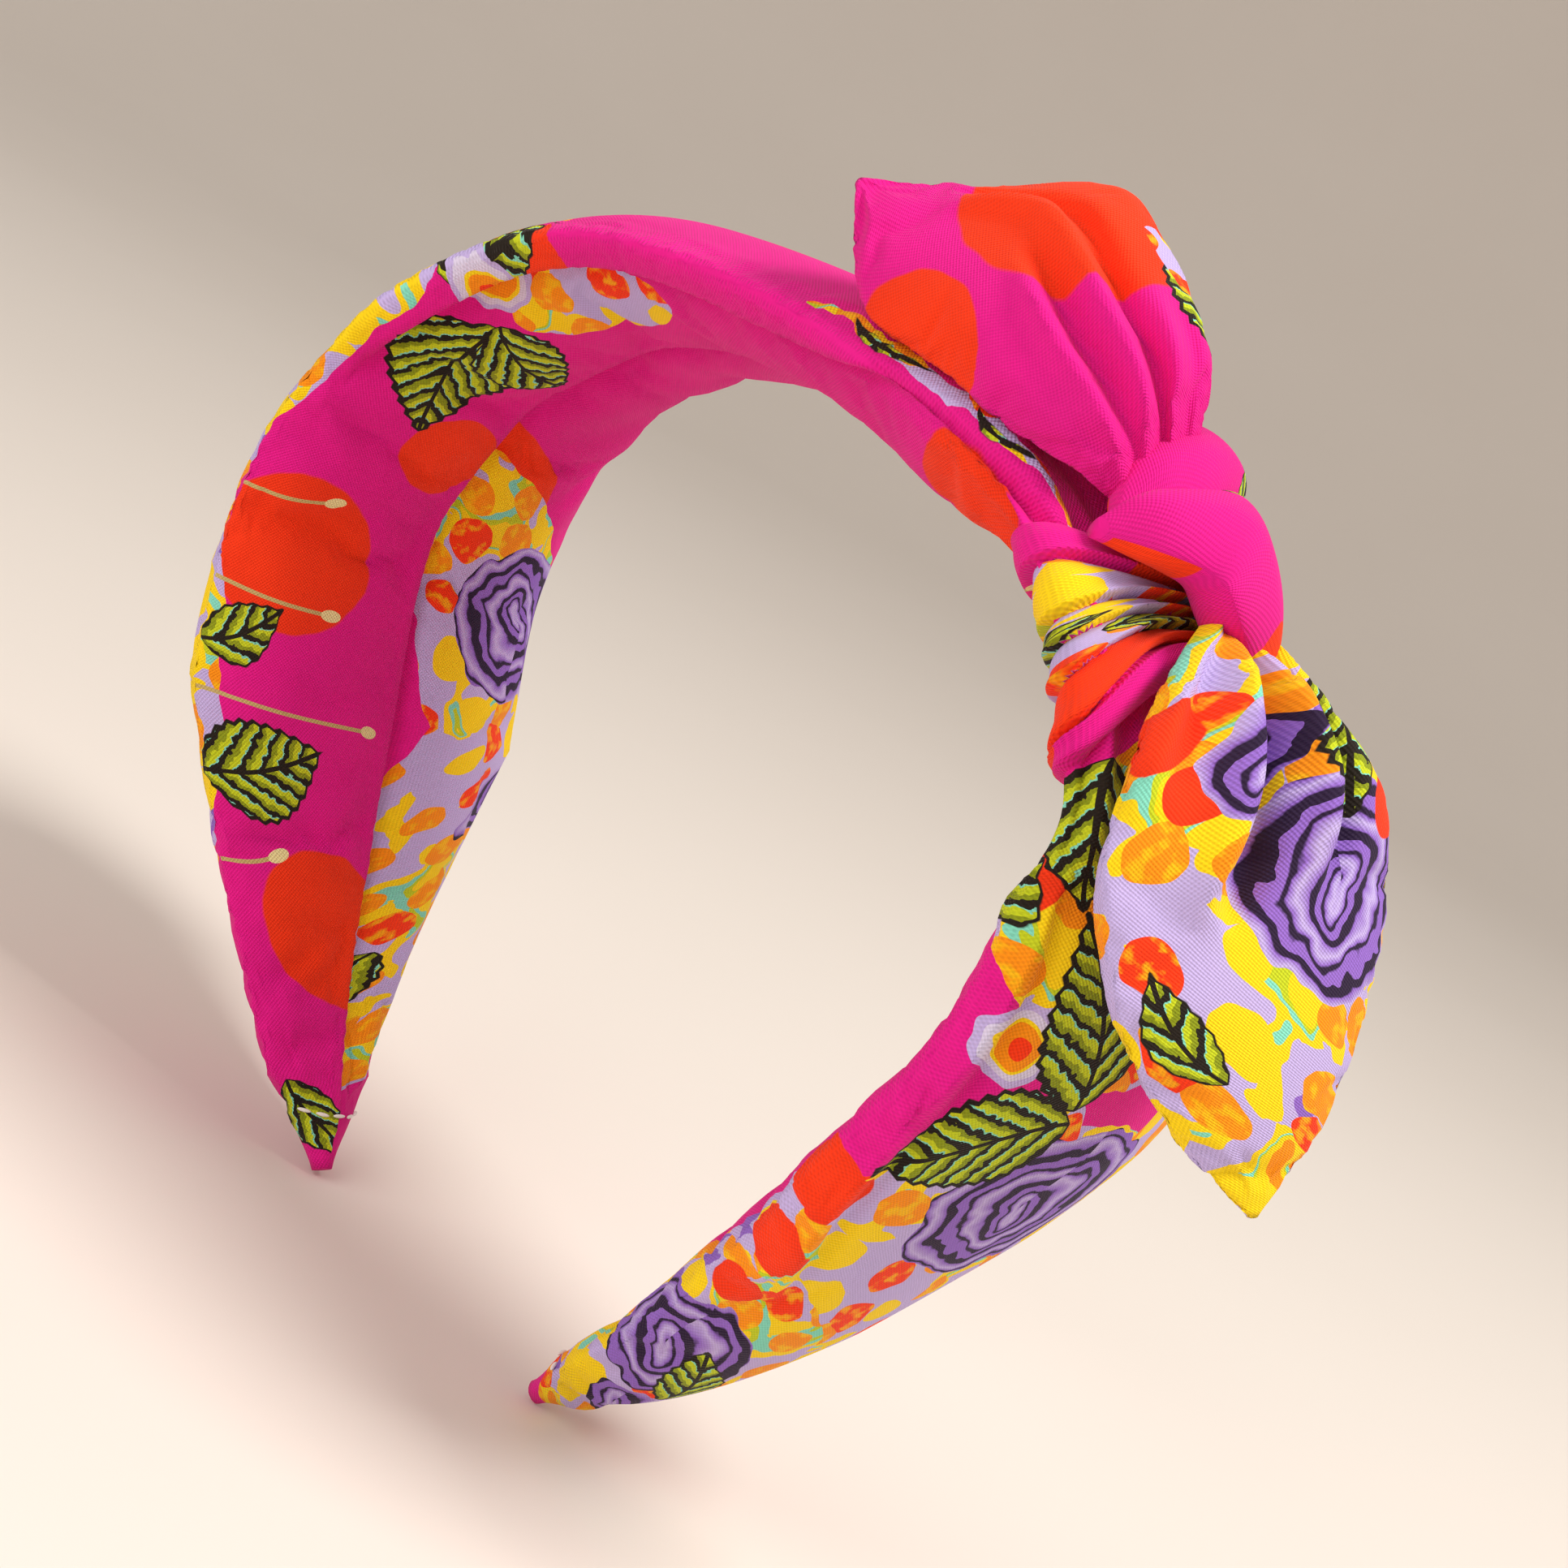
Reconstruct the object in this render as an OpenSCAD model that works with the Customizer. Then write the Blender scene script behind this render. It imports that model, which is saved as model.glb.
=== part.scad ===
// Knotted fabric headband.
// A springy plastic arch inside a puffy cloth tube, with a knotted strip that ends in two ears.
// X runs across the legs, Y along the tube's width, Z up through the crown.
// The origin is the centre of the opening that the head fills.
//
// Most pieces are set out in band coordinates [s, y, n]: s is the distance along the arch from
// the crown top (the left leg is negative), y is across the tube, n is outwards from its centre.

/* [Arch] */
// Radius of the flat arc over the crown, at the centre of the tube
crown_r = 150; // [140:5:170]
// Angle from the crown top to where the shoulder starts
crown_a = 11; // [10:1:13]
// Radius of the round shoulders
shoulder_r = 48; // [46:1:50]
// Angle that each shoulder turns through
shoulder_a = 99; // [96:1:100]
// Radius of the nearly straight legs
leg_r = 215; // [205:5:235]
// Angle that each leg turns through, down to its tip
leg_a = 21; // [20:1:22]
// Height of the crown's centre line above the origin
crown_z = 67; // [65:1:68]

/* [Tube] */
// Width of the tube over the crown
tube_w = 50; // [46:1:52]
// Width of the left leg's tube, which lies open and flat
left_leg_w = 60; // [52:1:62]
// Width of the right leg's tube, which is drawn together by pleats
right_leg_w = 48; // [46:1:54]
// Thickness of the tube
tube_t = 13; // [12:0.5:14]
// Length of the taper at each tip
taper_l = 64; // [60:1:70]
// Width of each blunt tip
tip_w = 9; // [8:0.5:12]
// Thickness of each tip
tip_t = 6; // [6:0.5:7]
// Thickness of the two layers of cloth
cloth_t = 0.8; // [0.6:0.1:1]

/* [Core] */
// Width of the plastic arch over the crown
core_w = 24; // [20:1:26]
// Width of the plastic arch near its tips
core_tip_w = 5; // [4:0.5:6]
// Thickness of the plastic arch
core_t = 1.8; // [1.5:0.1:2]

/* [Knot] */
// Where the pleated wrap starts, along the arch from the crown top
wrap_start = 42; // [41:1:44]
// Where the pleated wrap ends
wrap_end = 71; // [68:1:71]
// Thickness of the pleated wrap
wrap_t = 2.6; // [2:0.2:3]
// How much the wrap squeezes the tube's half width
pinch = 4; // [2:0.5:5]

/* [Ears] */
// Half width of the ear that stands off the crown
upper_ear_w = 15; // [12:0.5:15.5]
// Half width of the ear that hangs outside the right leg
lower_ear_w = 18; // [15:0.5:19]

/* [Flex] */
// Where each leg bends outwards, along the arch from the crown top
flex_s = 74; // [73.5:0.5:76]
// Half of the gap between the crown's tube and each leg's tube
tube_gap = 1.5; // [1.2:0.1:1.5]
// Half of the gap between the crown's core and each leg's core
core_gap = 0.4; // [0.3:0.1:0.6]

/* [Hidden] */

$fn = 48;
gap = 0.2;             // clearance between neighbouring layers
wrap_gap = 0.4;        // clearance between the wrap and the tube
core_n = -1;           // the core lies a little inside the tube's middle, on the head's side
ring_step = 6;         // distance between a tube's rings
tube_sides = 24;
hem = 2;               // length of the cloth turned in at each tip
thread_r = 0.35;
stitch_l = 2.2;
stitch_gap = 0.25;      // clearance between a stitch and the cloth under it

pink = "#e2128c";
orange = "#ff5a14";
lavender = "#b99ad8";
white = "#f4f0ea";
grey = "#55565a";

crown_end = crown_r * crown_a * PI / 180;
shoulder_end = crown_end + shoulder_r * shoulder_a * PI / 180;
tip_s = shoulder_end + leg_r * leg_a * PI / 180;
core_end = tip_s - 6;

// ---- The arch's centre line ----

// Slope of the arch below level at distance s, in degrees
function slope(s) =
    abs(s) < crown_end ? abs(s) / crown_r * 180 / PI
    : abs(s) < shoulder_end ? crown_a + (abs(s) - crown_end) / shoulder_r * 180 / PI
    : crown_a + shoulder_a + (abs(s) - shoulder_end) / leg_r * 180 / PI;

// One arc's share of the way across and of the way down
function across(r, a, b) = r * (sin(b) - sin(a));
function down(r, a, b) = r * (cos(a) - cos(b));
function arc_sum(s, across_or_down) =
    let (h = slope(s), a1 = crown_a, a2 = crown_a + shoulder_a)
    across_or_down(crown_r, 0, min(h, a1))
    + (h > a1 ? across_or_down(shoulder_r, a1, min(h, a2)) : 0)
    + (h > a2 ? across_or_down(leg_r, a2, h) : 0);

// A point in the part's frame from band coordinates [s, y, n]
function place(p) =
    let (side = p[0] < 0 ? -1 : 1, h = slope(p[0]))
    [side * (arc_sum(p[0], function(r, a, b) across(r, a, b)) + p[2] * sin(h)),
     p[1],
     crown_z - arc_sum(p[0], function(r, a, b) down(r, a, b)) + p[2] * cos(h)];

// ---- The tube's size along the arch ----

function ease(x) = let (c = min(max(x, 0), 1)) c * c * (3 - 2 * c);
function mix(a, b, f) = a + (b - a) * f;
// 1 on the full tube, falling to 0 at the tip
function fullness(s) = min(1, (tip_s - abs(s)) / taper_l);
// 1 under the wrap, 0 away from it
function squeezed(s) = ease((s - wrap_start + 12) / 14) * (1 - ease((s - wrap_end - 2) / 14));
function half_w(s) =
    let (leg_w = s < 0 ? left_leg_w : right_leg_w,
         full = mix(tube_w, leg_w, ease((abs(s) - 50) / 45)) / 2)
    mix(tip_w / 2, full, fullness(s)) - pinch * squeezed(s);
function half_t(s) =
    mix(tip_t / 2, tube_t / 2, min(1, 1.5 * fullness(s))) - 1.2 * squeezed(s);

// ---- Solids made from rings of points ----

function skin(count, rings, first) =
    [for (r = [0:rings - 2], i = [0:count - 1])
        let (j = (i + 1) % count, a = first + r * count, b = a + count)
        [a + i, b + i, b + j, a + j]];
function turned_over(faces) = [for (f = faces) [for (i = [len(f) - 1:-1:0]) f[i]]];
function ring_cap(count, first) = [[for (i = [0:count - 1]) first + i]];

// A solid through a list of rings, each a list of points
module loft(rings) {
    count = len(rings[0]);
    last = (len(rings) - 1) * count;
    polyhedron([for (r = rings) each r],
        concat(skin(count, len(rings), 0),
            ring_cap(count, 0),
            turned_over(ring_cap(count, last))),
        convexity = 8);
}

// A hollow tube between outer rings and inner rings. Its far end is closed where the
// inner rings stop short of the outer ones, and open otherwise.
module shell(outer, inner, closed = false) {
    count = len(outer[0]);
    total = count * len(outer);
    outer_last = total - count;
    inner_last = total + count * (len(inner) - 1);
    near_end = [for (i = [0:count - 1]) let (j = (i + 1) % count) [i, j, total + j, total + i]];
    far_end = [for (i = [0:count - 1]) let (j = (i + 1) % count)
        [outer_last + j, outer_last + i, inner_last + i, inner_last + j]];
    polyhedron(concat([for (r = outer) each r], [for (r = inner) each r]),
        concat(skin(count, len(outer), 0),
            turned_over(skin(count, len(inner), total)),
            near_end,
            closed ? concat(turned_over(ring_cap(count, outer_last)), ring_cap(count, inner_last))
                   : far_end),
        convexity = 8);
}

// Distances along the arch, evenly spaced
function steps(from, to) =
    let (n = ceil(abs(to - from) / ring_step)) [for (i = [0:n]) from + (to - from) * i / n];

// An oval round the tube, grown outwards by extra. A turn of -1 runs it the other way round.
function oval(s, extra, turn = 1) =
    [for (i = [0:tube_sides - 1]) let (a = turn * i * 360 / tube_sides)
        place([s, (half_w(s) + extra) * cos(a), (half_t(s) + extra) * sin(a)])];

// ---- Plastic core ----

// Half width of the core: full over the crown, narrowing towards its tips
function core_half_w(s) = mix(core_tip_w, core_w, min(1, (core_end - abs(s)) / taper_l)) / 2;

// A flat ring with chamfered corners
function core_ring(s) =
    let (w = core_half_w(s), t = core_t / 2, c = core_t / 4)
    [for (p = [[w, c], [w - c, t], [c - w, t], [-w, c], [-w, -c], [c - w, -t], [w - c, -t], [w, -c]])
        place([s, p[0], core_n + p[1]])];

module core(from, to) {
    color(grey)
        loft([for (s = steps(from, to)) core_ring(s)]);
}

module core_crown() {
    core(-flex_s + core_gap, flex_s - core_gap);
}

module core_left_leg() {
    core(-core_end, -flex_s - core_gap);
}

module core_right_leg() {
    core(flex_s + core_gap, core_end);
}

// ---- Wadding between the core and the cover ----

// A half oval that lies on the core's outer face
function pad_ring(s) =
    let (w = half_w(s) - cloth_t - gap, t = half_t(s) - cloth_t - gap,
         foot = core_n + core_t / 2 + gap)
    [for (i = [0:12]) let (a = asin(foot / t) + i * (180 - 2 * asin(foot / t)) / 12)
        place([s, w * cos(a), t * sin(a)])];

module wadding(from, to) {
    color(white)
        loft([for (s = steps(from, to)) pad_ring(s)]);
}

module wadding_crown() {
    wadding(-flex_s + tube_gap, flex_s - tube_gap);
}

module wadding_left_leg() {
    wadding(-tip_s + 8, -flex_s - tube_gap);
}

module wadding_right_leg() {
    wadding(flex_s + tube_gap, tip_s - 8);
}

// ---- Cloth cover ----

module cover_crown() {
    places = steps(-flex_s + tube_gap, flex_s - tube_gap);
    color(pink)
        shell([for (s = places) oval(s, 0)], [for (s = places) oval(s, -cloth_t)]);
}

// A leg's cover, open at the top and sewn shut at its tip. A side of -1 is the left leg.
module cover_leg(side) {
    top = side * (flex_s + tube_gap);
    color(pink)
        shell([for (s = steps(top, side * tip_s)) oval(s, 0, side)],
              [for (s = steps(top, side * (tip_s - hem))) oval(s, -cloth_t, side)],
              closed = true);
}

module cover_left_leg() {
    cover_leg(-1);
}

module cover_right_leg() {
    cover_leg(1);
}

// ---- Stitches ----

// One stitch across the tube, lying on its head side, with extra as the layers on the tube
module stitch(s, y, extra) {
    surface = (half_t(s) + extra) * sqrt(1 - pow(y / (half_w(s) + extra), 2));
    translate(place([s, y, -surface - thread_r - stitch_gap]))
        rotate([90, 0, 0])
            color(white)
                cylinder(h = stitch_l, r = thread_r, center = true, $fn = 16);
}

// A row of stitches that closes a tip
module tip_stitches(s) {
    for (i = [-1:1])
        stitch(s, i * (stitch_l + 0.6), 0);
}

module left_tip_stitches() {
    tip_stitches(-tip_s + 8);
}

module right_tip_stitches() {
    tip_stitches(tip_s - 8);
}

// The stitches that hold the wrap to the band
module knot_tack_stitches() {
    for (i = [-2:2])
        stitch((wrap_start + wrap_end) / 2, i * (stitch_l + 1.2), wrap_gap + wrap_t);
}

// ---- Knot ----

// A flattened ring in band coordinates: its middle, then its half width along the arch,
// its half width across the tube and its half thickness outwards
function pillow_ring(p, along, wide, thick) =
    [for (i = [0:15]) let (a = i * 22.5)
        place([p[0] + along * cos(a), p[1] + wide * cos(a), p[2] + thick * sin(a)])];

module knot_wrap() {
    color(orange)
        shell([for (s = steps(wrap_start, wrap_end)) oval(s, wrap_gap + wrap_t)],
              [for (s = steps(wrap_start, wrap_end)) oval(s, wrap_gap)]);
}

// Each row of the next two lists: middle [s, y, n], half width along, half width across, half thickness
tuck_rows = [
    [[44, -18, 9.9], 3, 0, 0.8],
    [[44, -13, 11], 5, -1, 2],
    [[43, -7, 11.4], 5.5, -1, 2.4],
    [[42, -1, 11.2], 5, -1, 2],
    [[41, 4, 10], 3, -1, 0.8]
];
strap_rows = [
    [[49, -24, 9.5], 2, 0, 1],
    [[50, -17, 13.2], 3, 0, 2],
    [[51.5, -9, 14.6], 4, -1, 2.4],
    [[54, -3, 14], 4, -3.5, 2.4],
    [[59, 0, 12.5], 1, -4.5, 2],
    [[64, 1, 10.8], 0, -2.5, 1]
];

module knot_tuck() {
    color(pink)
        loft([for (r = tuck_rows) pillow_ring(r[0], r[1], r[2], r[3])]);
}

module knot_strap() {
    color(pink)
        loft([for (r = strap_rows) pillow_ring(r[0], r[1], r[2], r[3])]);
}

// ---- Ears ----

// A flattened ring in the part's frame, from its middle and its two half axes
function ear_ring(middle, wide, thick) =
    [for (i = [0:15]) let (a = i * 22.5) middle + wide * cos(a) + thick * sin(a)];

// Unit directions across the upper ear, which leans back, and out of its face
upper_wide = [0, 0.56, 0.83];
upper_thick = [0.14, -0.82, 0.55];
// Unit directions across the lower ear, which is turned a little to the front, and out of its face
lower_wide = [0.31, 0.9, 0.31];
lower_thick = [0.78, -0.43, 0.46];

// Each row of the next two lists: middle, share of the half width, half thickness
upper_rows = [
    [[48, -12, 76], 0.2, 2],
    [[44, -14, 79], 0.45, 4.5],
    [[34, -15, 81.5], 0.85, 7],
    [[22, -16, 83.5], 1, 7.5],
    [[11, -17, 84.5], 0.95, 6.5],
    [[4, -20, 84], 0.55, 4],
    [[0, -23, 83.5], 0.12, 1.5]
];
lower_rows = [
    [[71, -10, 53], 0.35, 2],
    [[75, -10, 47.5], 0.75, 4],
    [[80, -10, 38], 1, 5.5],
    [[86, -9, 27], 0.85, 5],
    [[91, -7, 18], 0.5, 3.5],
    [[95, -4, 11], 0.12, 1.2]
];

module upper_ear() {
    color(pink)
        loft([for (r = upper_rows) ear_ring(r[0], upper_wide * upper_ear_w * r[1], upper_thick * r[2])]);
}

module lower_ear() {
    color(lavender)
        loft([for (r = lower_rows) ear_ring(r[0], lower_wide * lower_ear_w * r[1], lower_thick * r[2])]);
}

core_crown();
core_left_leg();
core_right_leg();
wadding_crown();
wadding_left_leg();
wadding_right_leg();
cover_crown();
cover_left_leg();
cover_right_leg();
left_tip_stitches();
right_tip_stitches();
knot_wrap();
knot_tuck();
knot_strap();
knot_tack_stitches();
upper_ear();
lower_ear();
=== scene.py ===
"""Knotted fabric headband: the looks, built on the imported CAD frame, in metres.

Shapes are worked out in mm. Most are in band coordinates: s is the distance along the arch from
the crown top (the left leg is negative), y is across the tube, and n is outwards from its middle.
"""

import math

import bpy
import numpy as np
from mathutils import Euler, Matrix, Vector


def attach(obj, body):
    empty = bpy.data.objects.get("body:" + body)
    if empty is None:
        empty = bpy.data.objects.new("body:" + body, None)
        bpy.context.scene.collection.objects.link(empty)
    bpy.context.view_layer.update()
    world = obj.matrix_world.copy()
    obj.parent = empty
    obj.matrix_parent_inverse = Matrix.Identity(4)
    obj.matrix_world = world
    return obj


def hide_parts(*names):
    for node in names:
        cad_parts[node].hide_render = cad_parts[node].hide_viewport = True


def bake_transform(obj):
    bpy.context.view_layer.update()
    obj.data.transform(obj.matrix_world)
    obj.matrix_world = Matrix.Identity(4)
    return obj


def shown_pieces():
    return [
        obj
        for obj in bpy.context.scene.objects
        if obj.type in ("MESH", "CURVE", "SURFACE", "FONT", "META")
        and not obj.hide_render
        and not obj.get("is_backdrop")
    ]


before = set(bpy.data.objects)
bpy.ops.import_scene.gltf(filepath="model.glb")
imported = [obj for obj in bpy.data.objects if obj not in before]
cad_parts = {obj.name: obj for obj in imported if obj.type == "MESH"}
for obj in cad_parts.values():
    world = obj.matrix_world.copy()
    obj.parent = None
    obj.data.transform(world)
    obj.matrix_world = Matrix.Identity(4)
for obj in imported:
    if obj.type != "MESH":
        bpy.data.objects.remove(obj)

MM = 0.001
UV_MM = 100  # mm of cloth to one unit of the print's map
RING_PITCH = 1.25  # mm between a cover's rings
TRIAL_SCALE, TRIAL_FRAMES = 10, 20  # the cloth solver's run
THREAD_PITCH = 0.5  # mm
STITCH_INSET = 7  # mm from a tip to its top stitching
STITCH_LIFT = 0.0002
PLEAT_CLOTH, PLEAT_STEP = 9, 30  # mm of cloth shown by a pleat, and from one pleat to the next
FLOOR_SIDES, FLOOR_REACH, FLOOR_CURVE = 96, 1.4, 1.2
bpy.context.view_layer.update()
scene = bpy.context.scene

# ---- Camera ----

camera = bpy.data.objects.new("camera", bpy.data.cameras.new("camera"))
scene.collection.objects.link(camera)
camera.location = (0.2017, -0.2526, 0.0737)
camera.rotation_euler = Euler([math.radians(a) for a in (78.167, -28.275, 42.437)])
camera.data.lens = 59.63
camera.data.sensor_width = 36
camera.data.clip_start = 0.01
scene.camera = camera

# ---- The arch and the tube, with the CAD's sizes ----

ARCS = ((150, 0, 11), (48, 11, 110), (215, 110, 131))  # each arc's radius, first and last slope
ARC_ENDS = np.cumsum([0] + [r * math.radians(b - a) for r, a, b in ARCS])
CROWN_Z = 67
TIP_S = ARC_ENDS[-1]
TUBE_W, LEFT_LEG_W, RIGHT_LEG_W, TUBE_T = 50, 60, 48, 13
TIP_W, TIP_T, TAPER_L = 9, 6, 64
WRAP_START, WRAP_END, WRAP_GAP = 42, 71, 0.4
PINCH = 4  # how far the wrap draws each edge in
SPLIT_S = 55  # the two covers meet here, under the wrap


def ease(x):
    c = np.clip(x, 0, 1)
    return c * c * (3 - 2 * c)


def mix(a, b, f):
    return a + (b - a) * f


def bump(x, middle, half_width):
    """A smooth hump: 1 at its middle, and nearly 0 past two half widths."""
    return np.exp(-(((x - middle) / half_width) ** 2))


def lip(v, edge, reach):
    """A fold of cloth laid over the cloth past its edge: it swells up from reach away and drops
    off sharply at the edge. reach is negative for a fold that lies on the front's side."""
    towards = (v - edge) * (1 if reach > 0 else -1)
    return ease(towards / 0.9 + 0.6) * (1 - ease((towards - 0.3 * abs(reach)) / (0.7 * abs(reach))))


def place(s, y, n):
    """Points in the part's frame from band coordinates."""
    s, y, n = np.broadcast_arrays(*(np.asarray(v, float) for v in (s, y, n)))
    slope = np.interp(np.abs(s), ARC_ENDS, np.radians([0, 11, 110, 131]))
    across, down = np.zeros_like(s), np.zeros_like(s)
    for r, a, b in ARCS:
        a, b = math.radians(a), math.radians(b)
        h = np.clip(slope, a, b)
        across = across + r * (np.sin(h) - math.sin(a))
        down = down + r * (math.cos(a) - np.cos(h))
    side = np.where(s < 0, -1, 1)
    return np.stack(
        [side * (across + n * np.sin(slope)), y, CROWN_Z - down + n * np.cos(slope)], -1
    )


def fullness(s):
    """1 on the full tube, falling to 0 at the tips."""
    return np.clip((TIP_S - np.abs(s)) / TAPER_L, 0, 1)


def squeezed(s):
    """1 under the wrap, 0 away from it."""
    return ease((s - WRAP_START + 12) / 14) * (1 - ease((s - WRAP_END - 2) / 14))


def half_w(s):
    """Half the tube's width, as in the CAD, but drawn in to the sewn point at each tip."""
    leg = np.where(s < 0, LEFT_LEG_W, RIGHT_LEG_W)
    full = mix(TUBE_W, leg, ease((np.abs(s) - 50) / 45)) / 2
    drawn_in = 0.3 + 0.7 * np.minimum(1, fullness(s) / 0.2)
    return mix(TIP_W / 2, full, fullness(s)) * drawn_in - PINCH * squeezed(s)


def half_t(s):
    flat = 0.5 + 0.5 * ease(fullness(s) / 0.12)
    return mix(TIP_T / 2, TUBE_T / 2, np.minimum(1, 1.5 * fullness(s))) * flat - 1.2 * squeezed(s)


def section(s, turn, sharp=0.2):
    """Across and outwards for a turn round the tube: 0 is the inner seam, a quarter turn the
    front edge, half a turn the outside. sharp draws the edges in towards folded corners."""
    c = np.cos(turn)
    return -half_w(s) * np.sin(turn), -half_t(s) * c * np.abs(c) ** sharp


def outwards(s, turn):
    """Unit direction out of the tube, across and outwards."""
    a, b = -np.sin(turn) / half_w(s), -np.cos(turn) / half_t(s)
    size = np.hypot(a, b)
    return a / size, b / size


# ---- Meshes ----


def fabric(name, rings, printed, material):
    """A smooth closed piece through rings of points in mm. printed is each point's place on the
    printed cloth in mm, with one column more than the points have, so that the print needn't
    meet."""
    count, sides = rings.shape[:2]
    i, j = (v.ravel() for v in np.mgrid[0 : count - 1, 0:sides])
    k = (j + 1) % sides
    faces = np.stack([i * sides + j, i * sides + k, (i + 1) * sides + k, (i + 1) * sides + j], 1)
    uv = np.stack([printed[i, j], printed[i, j + 1], printed[i + 1, j + 1], printed[i + 1, j]], 1)
    faces, uv = faces.tolist(), uv.reshape(-1, 2).tolist()
    points = rings.reshape(-1, 3)
    for row, ring in ((0, 0), (count - 1, (count - 1) * sides)):
        pole = len(points)
        points = np.vstack([points, rings[row].mean(0)])
        middle = printed[row].mean(0).tolist()
        for a in range(sides):
            b = (a + 1) % sides
            corners = [(ring + b, printed[row, a + 1]), (ring + a, printed[row, a])]
            if row:
                corners.reverse()
            faces.append([pole] + [c[0] for c in corners])
            uv += [middle] + [list(c[1]) for c in corners]
    mesh = bpy.data.meshes.new(name)
    mesh.from_pydata((points * MM).tolist(), [], faces)
    layer = mesh.uv_layers.new(name="cloth")
    layer.data.foreach_set("uv", (np.array(uv) / UV_MM).astype(np.float32).ravel())
    piece = bpy.data.objects.new(name, mesh)
    scene.collection.objects.link(piece)
    if volume(piece) < 0:
        mesh.flip_normals()
    mesh.polygons.foreach_set("use_smooth", [True] * len(mesh.polygons))
    mesh.materials.append(material)
    return piece


def volume(piece):
    """The volume inside a closed piece: negative if its faces point inwards."""
    mesh = piece.data
    co = coordinates(mesh)
    mesh.calc_loop_triangles()
    tri = np.zeros(len(mesh.loop_triangles) * 3, np.int32)
    mesh.loop_triangles.foreach_get("vertices", tri)
    a, b, c = (co[tri[k::3]] for k in range(3))
    return float(np.einsum("ij,ij->i", a, np.cross(b, c)).sum() / 6)


def coordinates(mesh):
    co = np.zeros(len(mesh.vertices) * 3)
    mesh.vertices.foreach_get("co", co)
    return co.reshape(-1, 3)


def arc_lengths(y, n, first):
    """Distance round each ring of a section, from its column first. It has one column more."""
    y, n = (np.concatenate([v, v[:, :1]], 1) for v in (y, n))
    step = np.hypot(np.diff(y, axis=1), np.diff(n, axis=1))
    round_it = np.concatenate([np.zeros((len(y), 1)), np.cumsum(step, 1)], 1)
    return round_it - round_it[:, first : first + 1]


def settle(piece, held, pressure, grow, cap):
    """Lets the cloth swell and wrinkle over its filling, and keeps the result. held is how firmly
    stitches hold each point, from 0 to 1. grow is the cloth's extra length, and cap is how far a
    point may move, in mm. The trial runs at ten times the size, where the solver behaves best."""
    mesh = piece.data.copy()
    mesh.transform(Matrix.Scale(TRIAL_SCALE, 4))
    trial = bpy.data.objects.new("trial", mesh)
    scene.collection.objects.link(trial)
    group = trial.vertex_groups.new(name="held")
    for level in range(1, 11):
        near = np.nonzero(np.round(held * 10) == level)[0]
        if len(near):
            group.add(near.tolist(), level / 10, "REPLACE")
    cloth = trial.modifiers.new("cloth", "CLOTH")
    cloth.settings.quality = 5
    cloth.settings.mass = 0.15
    cloth.settings.tension_stiffness = 12
    cloth.settings.compression_stiffness = 12
    cloth.settings.shear_stiffness = 5
    cloth.settings.bending_stiffness = 0.4
    cloth.settings.vertex_group_mass = "held"
    cloth.settings.use_pressure = True
    cloth.settings.uniform_pressure_force = pressure
    cloth.settings.shrink_min = -grow
    cloth.settings.effector_weights.gravity = 0
    cloth.collision_settings.use_collision = False
    cloth.point_cache.frame_start, cloth.point_cache.frame_end = 1, TRIAL_FRAMES
    for number in range(1, TRIAL_FRAMES + 1):
        scene.frame_set(number)
    seen = trial.evaluated_get(bpy.context.evaluated_depsgraph_get())
    moved = coordinates(seen.data) / TRIAL_SCALE - coordinates(piece.data)
    bpy.data.objects.remove(trial)
    scene.frame_set(1)
    size = np.linalg.norm(moved, axis=1, keepdims=True) / (cap * MM) + 1e-9
    moved *= np.tanh(size) / size
    piece.data.vertices.foreach_set("co", (coordinates(piece.data) + moved).ravel())
    piece.data.update()


# ---- Materials ----


def add(tree, kind, feeds=None, out=0, **settings):
    """Adds a node with its settings. feeds are its inputs' values, or the sockets linked to them.
    Returns output number out, or the node itself where out is None."""
    node = tree.nodes.new(kind)
    for name, value in settings.items():
        setattr(node, name, value)
    for key, value in (feeds or {}).items():
        if isinstance(value, bpy.types.NodeSocket):
            tree.links.new(value, node.inputs[key])
        else:
            node.inputs[key].default_value = value
    return node if out is None else node.outputs[out]


def linear(hex_colour):
    """A colour in linear light from its sRGB hex value."""
    parts = [int(hex_colour[k : k + 2], 16) / 255 for k in (1, 3, 5)]
    return tuple(p / 12.92 if p <= 0.04045 else ((p + 0.055) / 1.055) ** 2.4 for p in parts) + (1,)


# Dyes of the printed cotton
HOT_PINK = linear("#EC0E8E")
RED_ORANGE = linear("#FF3A08")
DEEP_RED = linear("#E02A0C")
ORANGE = linear("#FF9405")
YELLOW = linear("#FFD80A")
LAVENDER = linear("#C6B2E6")
PALE = linear("#DDD2EC")
PURPLE = linear("#9468C8")
AUBERGINE = linear("#2A1738")
MINT = linear("#86DCC2")
OLIVE = linear("#8E9A12")
LIME = linear("#C6D21C")
LEAF_DARK = linear("#21180F")
CREAM = linear("#F0E2A0")

M, VM, MIX = "ShaderNodeMath", "ShaderNodeVectorMath", "ShaderNodeMix"


def motif_group(name, sizes):
    """An empty group for one motif, with its place and sizes as inputs."""
    tree = bpy.data.node_groups.new(name, "ShaderNodeTree")
    tree.interface.new_socket("Place", in_out="INPUT", socket_type="NodeSocketVector")
    for size in sizes:
        tree.interface.new_socket(size, in_out="INPUT", socket_type="NodeSocketFloat")
    tree.interface.new_socket("Mask", in_out="OUTPUT", socket_type="NodeSocketFloat")
    tree.interface.new_socket("Color", in_out="OUTPUT", socket_type="NodeSocketColor")
    return tree, add(tree, "NodeGroupInput", out=None), add(tree, "NodeGroupOutput", out=None)


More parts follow.
